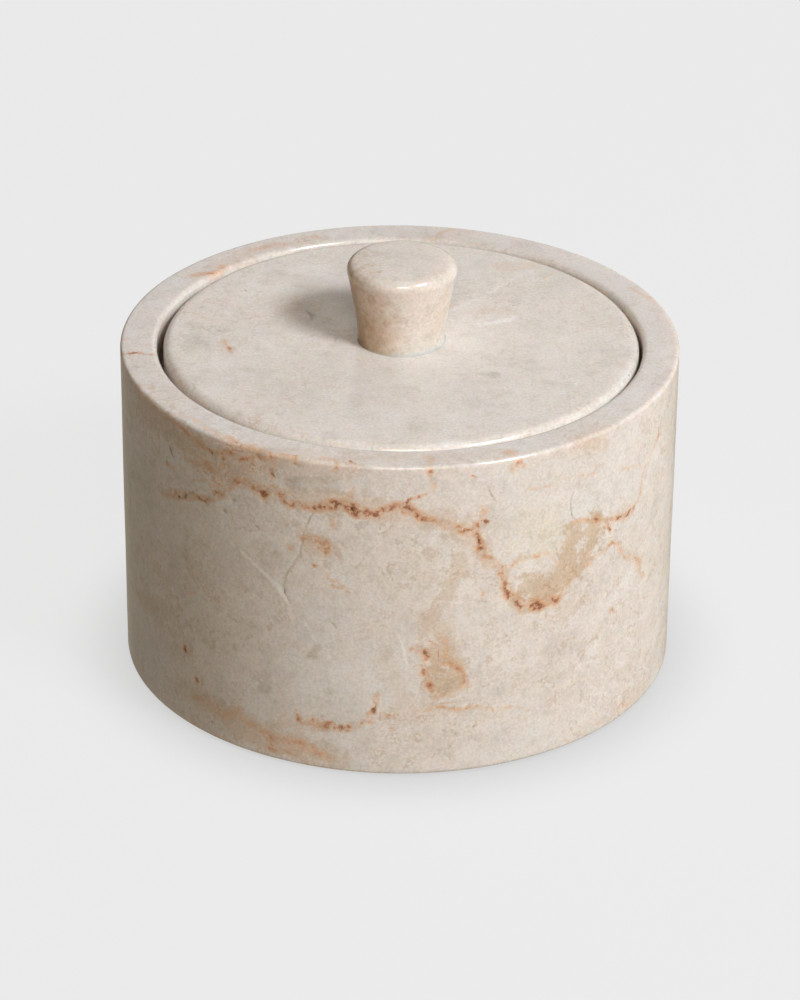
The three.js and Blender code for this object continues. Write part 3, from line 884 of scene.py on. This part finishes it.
def rubber():
    """Dark moulded rubber with a dusty bloom and a fine grain."""
    graph = Graph("pad_rubber_look")
    place = graph.place()
    bloom = graph.noise(place, 4.0, 5.0, 0.65)
    grain = graph.noise(place, 0.35, 3.0, 0.7)
    colour = graph.mix(graph.spread(bloom, 0.4, 0.75, 0.0, 0.7), RUBBER_BLACK, RUBBER_DUST)
    rough = graph.spread(grain, 0.3, 0.7, 0.62, 0.82)
    bump = graph.add("Bump", {"Height": grain, "Strength": 0.5, "Distance": 0.00008})
    return graph.finish(graph.add("BsdfPrincipled", {
        "Base Color": colour,
        "Roughness": rough,
        "Normal": bump.outputs["Normal"],
        "IOR": 1.52,
    }))


# ---- Studio --------------------------------------------------------------------------------------

AIM = Vector((0, 0, 0.036))     # what the camera and the lights look at, in metres


def backdrop():
    """A wide pale floor that turns up into a low wall all round, far outside the view. It glows evenly,
    and less right beside the jar, a painted soft shadow; it throws no light of its own on the pieces."""
    rise = arc(1500, 600, 600, -QUARTER, 0, 16)
    profile = [(0, 0), (100, 0), (300, 0), (700, 0), (1100, 0)] + rise + [(2100, 1500), (0, 1500)]
    vertices, faces = turned(profile, even_angles(96))
    # seen from within, and open above: the faces up to the outline's last point are left out
    inside = [tuple(reversed(face)) for face in faces if max(face) < len(vertices) - 1]
    mesh = bpy.data.meshes.new("studio_floor")
    mesh.from_pydata((vertices[:-1] * MM).tolist(), [], inside)
    mesh.polygons.foreach_set("use_smooth", [True] * len(mesh.polygons))
    graph = Graph("studio_floor_look")
    # a painted soft shadow: the floor's glow drops where the jar is near, read from ambient occlusion
    painted_shadow_nearness = graph.add("AmbientOcclusion", {"Distance": 0.022}, samples=16).outputs["AO"]
    glow_in_painted_shadow, glow_far_off = 0.60, 0.775
    mesh.materials.append(graph.finish(graph.add("BsdfPrincipled", {
        "Base Color": (0.04, 0.04, 0.04, 1),
        "Roughness": 0.9,
        "Emission Color": (1, 1, 1, 1),
        "Emission Strength": graph.spread(painted_shadow_nearness, 0.35, 1.0, glow_in_painted_shadow, glow_far_off),
    })))
    floor = bpy.data.objects.new("studio_floor", mesh)
    bpy.context.scene.collection.objects.link(floor)
    floor.visible_diffuse = False
    floor.visible_glossy = False
    floor.visible_shadow = False


def area_light(name, bearing, elevation, distance, width, height, power, colour, mirrored=True):
    """A soft rectangle of light, by degrees round to the right of the front and degrees up. One that
    isn't mirrored lights the stone and doesn't show in its polish."""
    turn, up = math.radians(bearing), math.radians(elevation)
    way = Vector((math.sin(turn) * math.cos(up), -math.cos(turn) * math.cos(up), math.sin(up)))
    lamp = bpy.data.lights.new(name, "AREA")
    lamp.shape = "RECTANGLE"
    lamp.size = width
    lamp.size_y = height
    lamp.energy = power
    lamp.color = colour
    holder = bpy.data.objects.new(name, lamp)
    holder.visible_glossy = mirrored
    holder.location = AIM + way * distance
    holder.rotation_euler = (-way).to_track_quat("-Z", "Y").to_euler()
    bpy.context.scene.collection.objects.link(holder)


def surroundings():
    """Soft warm light, nearly all of it from below, as a pale table throws back, and more from the right."""
    world = bpy.data.worlds.new("studio_air")
    world.use_nodes = True
    tree = world.node_tree
    tree.nodes.clear()
    way = tree.nodes.new("ShaderNodeTexCoord")
    parts = tree.nodes.new("ShaderNodeSeparateXYZ")
    rise = tree.nodes.new("ShaderNodeMapRange")
    blend = tree.nodes.new("ShaderNodeValToRGB")
    lean = tree.nodes.new("ShaderNodeMapRange")
    light = tree.nodes.new("ShaderNodeBackground")
    output = tree.nodes.new("ShaderNodeOutputWorld")
    rise.inputs["From Min"].default_value = -0.4
    rise.inputs["From Max"].default_value = 0.4
    blend.color_ramp.elements[0].color = (0.354, 0.309, 0.237, 1)
    blend.color_ramp.elements[1].color = (0.012, 0.011, 0.009, 1)
    lean.inputs["From Min"].default_value = -1
    lean.inputs["To Min"].default_value = 0.5
    lean.inputs["To Max"].default_value = 1.55
    tree.links.new(way.outputs["Generated"], parts.inputs[0])
    tree.links.new(parts.outputs["Z"], rise.inputs["Value"])
    tree.links.new(rise.outputs["Result"], blend.inputs["Fac"])
    tree.links.new(blend.outputs["Color"], light.inputs["Color"])
    tree.links.new(parts.outputs["X"], lean.inputs["Value"])
    tree.links.new(lean.outputs["Result"], light.inputs["Strength"])
    tree.links.new(light.outputs[0], output.inputs["Surface"])
    bpy.context.scene.world = world


def camera():
    """The photograph's view: 28 degrees down on the jar's front through a long lens."""
    pitch = math.radians(27.852)
    roll = math.radians(0.515)
    distance = 0.885
    back = Vector((0, -math.cos(pitch), math.sin(pitch)))
    lens = bpy.data.cameras.new("view")
    lens.sensor_width = 36
    lens.lens = 145.47
    lens.shift_x = 0.00143
    lens.shift_y = -0.00843
    holder = bpy.data.objects.new("view", lens)
    holder.location = AIM + back * distance
    holder.rotation_mode = "QUATERNION"
    holder.rotation_quaternion = (-back).to_track_quat("-Z", "Y") @ Quaternion((0, 0, 1), roll)
    bpy.context.scene.collection.objects.link(holder)
    bpy.context.scene.camera = holder


# ---- Assembly ------------------------------------------------------------------------------------

camera()
surroundings()
backdrop()
area_light("key_left", bearing=3, elevation=32, distance=1.6, width=0.5, height=0.35, power=8.6,
           colour=(1.0, 0.91, 0.80))
area_light("key_right", bearing=47, elevation=42, distance=1.6, width=0.42, height=0.3, power=24.5,
           colour=(0.88, 0.91, 0.97))
area_light("side", bearing=133, elevation=5, distance=1.7, width=1.2, height=0.7, power=21,
           colour=(0.92, 0.96, 1.0), mirrored=False)
area_light("back", bearing=188, elevation=26, distance=1.7, width=1.6, height=0.8, power=3.2,
           colour=(1.0, 0.93, 0.86))
area_light("back_left", bearing=222, elevation=12, distance=1.7, width=1.2, height=0.8, power=5,
           colour=(1.0, 0.96, 0.92), mirrored=False)
bpy.context.scene.view_settings.view_transform = "Standard"

jar_stone = stone("jar_stone", NONE, (0, 0, 0))
lid_stone = stone("lid_stone", (1.05, 1.045, 1.03), (61, 17, 40), scratched=0.5)
knob_stone = stone("knob_stone", (1.0, 0.985, 0.96), (-33, 71, 9), scratched=0.2, torn=0.4, depth=0.006)
rubber_look = rubber()
add_piece("jar_vessel", jar_surface(), jar_stone, "jar", "jar_marble", "jar_body")
add_piece("lid_plate", lid_surface(), lid_stone, "lid", "lid_marble", "lid_disc")
add_piece("lid_handle", knob_surface(), knob_stone, "lid", "knob_marble", "lid_knob")
for number in range(1, 5):
    pad_node = f"base_pad_{number}"
    add_piece(f"pad_{number}", pad_surface(pad_node), rubber_look, "jar", "pad_rubber", pad_node)
